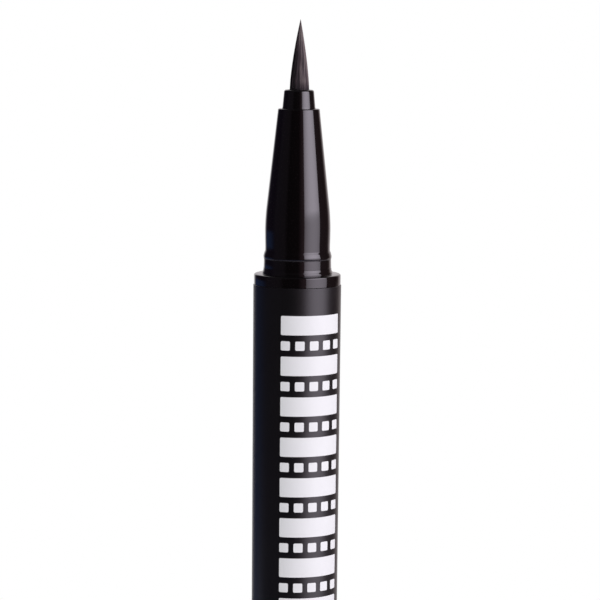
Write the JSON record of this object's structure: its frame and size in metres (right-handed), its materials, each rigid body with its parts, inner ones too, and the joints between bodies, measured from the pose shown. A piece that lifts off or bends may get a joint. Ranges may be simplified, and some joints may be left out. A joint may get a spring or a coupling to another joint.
{
  "type": "liquid eyeliner pen",
  "caption": "Slim liquid eyeliner pen with a fine brush tip, a tapered glossy nose and a matt barrel, standing on the cap posted on its tail.",
  "frame": {"origin": "centre of the cap's closed end, which the part stands on", "axes": "+Z along the pen's axis from the cap to the brush; -Y faces the picture's camera, +X is to its right"},
  "size_m": [0.011, 0.011, 0.1676],
  "materials": {
    "matt_black": "soft matt black coat",
    "gloss_black": "polished black moulding",
    "brush_fibre": "ink-stained nylon fibres",
    "liner_plastic": "natural polypropylene",
    "rod_fibre": "bonded fibre rod",
    "steel": "polished ball"
  },
  "bodies": {
    "cap": {"cap_shell": "matt_black", "inner_cap": "liner_plastic"},
    "pen": {"tail_plug": "gloss_black", "barrel": "matt_black", "collar": "gloss_black", "nose_section": "gloss_black", "brush_holder": "gloss_black", "brush_root": "brush_fibre", "feed_rod": "rod_fibre", "ink_collector": "liner_plastic", "tank_plug": "liner_plastic", "ink_tank": "liner_plastic"},
    "ball": {"mixing_ball": "steel"},
    "brush": {"brush_tip": "brush_fibre"}
  },
  "joints": [
    {"name": "cap_pull", "type": "slide", "parent": "cap", "child": "pen", "axis": [0, 0, 1], "range_m": [0, 0.04]},
    {"name": "ball_rattle", "type": "slide", "parent": "pen", "child": "ball", "axis": [0, 0, 1], "range_m": [0, 0.062]},
    {"name": "brush_bend", "type": "hinge", "parent": "pen", "child": "brush", "pos_m": [0, 0, 0.15885], "axis": [0, 1, 0], "range_deg": [-15, 15], "stiffness_Nm_per_rad": 0.0008}
  ]
}
